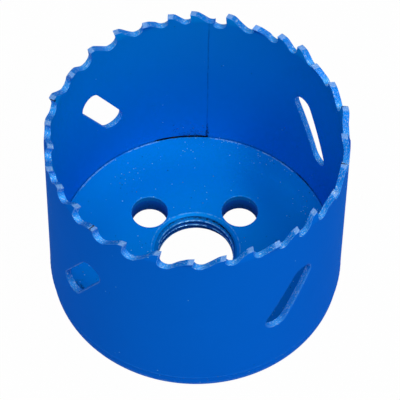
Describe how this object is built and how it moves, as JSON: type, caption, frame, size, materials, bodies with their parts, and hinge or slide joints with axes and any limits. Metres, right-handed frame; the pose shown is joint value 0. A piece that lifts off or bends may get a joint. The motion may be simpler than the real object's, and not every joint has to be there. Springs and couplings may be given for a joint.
{
  "type": "hole saw",
  "caption": "Cup-shaped toothed cutter: rolled and slotted steel wall with set teeth, on a thick plate with a threaded arbor hole and drive-pin holes.",
  "frame": {"origin": "centre of the back face of the backing plate", "axes": "+Z along the axis from the plate towards the teeth; +X to the right and -Y towards the viewer in the picture"},
  "size_m": [0.0562, 0.0568, 0.0427],
  "materials": {
    "plate_paint": "semi-gloss blue enamel over steel plate",
    "wall_paint": "semi-gloss blue enamel over rolled strip, teeth included",
    "weld_paint": "semi-gloss blue enamel over the weld"
  },
  "bodies": {
    "root": {"backing_plate": "plate_paint", "cup_wall": "wall_paint", "plate_weld": "weld_paint"}
  },
  "joints": []
}
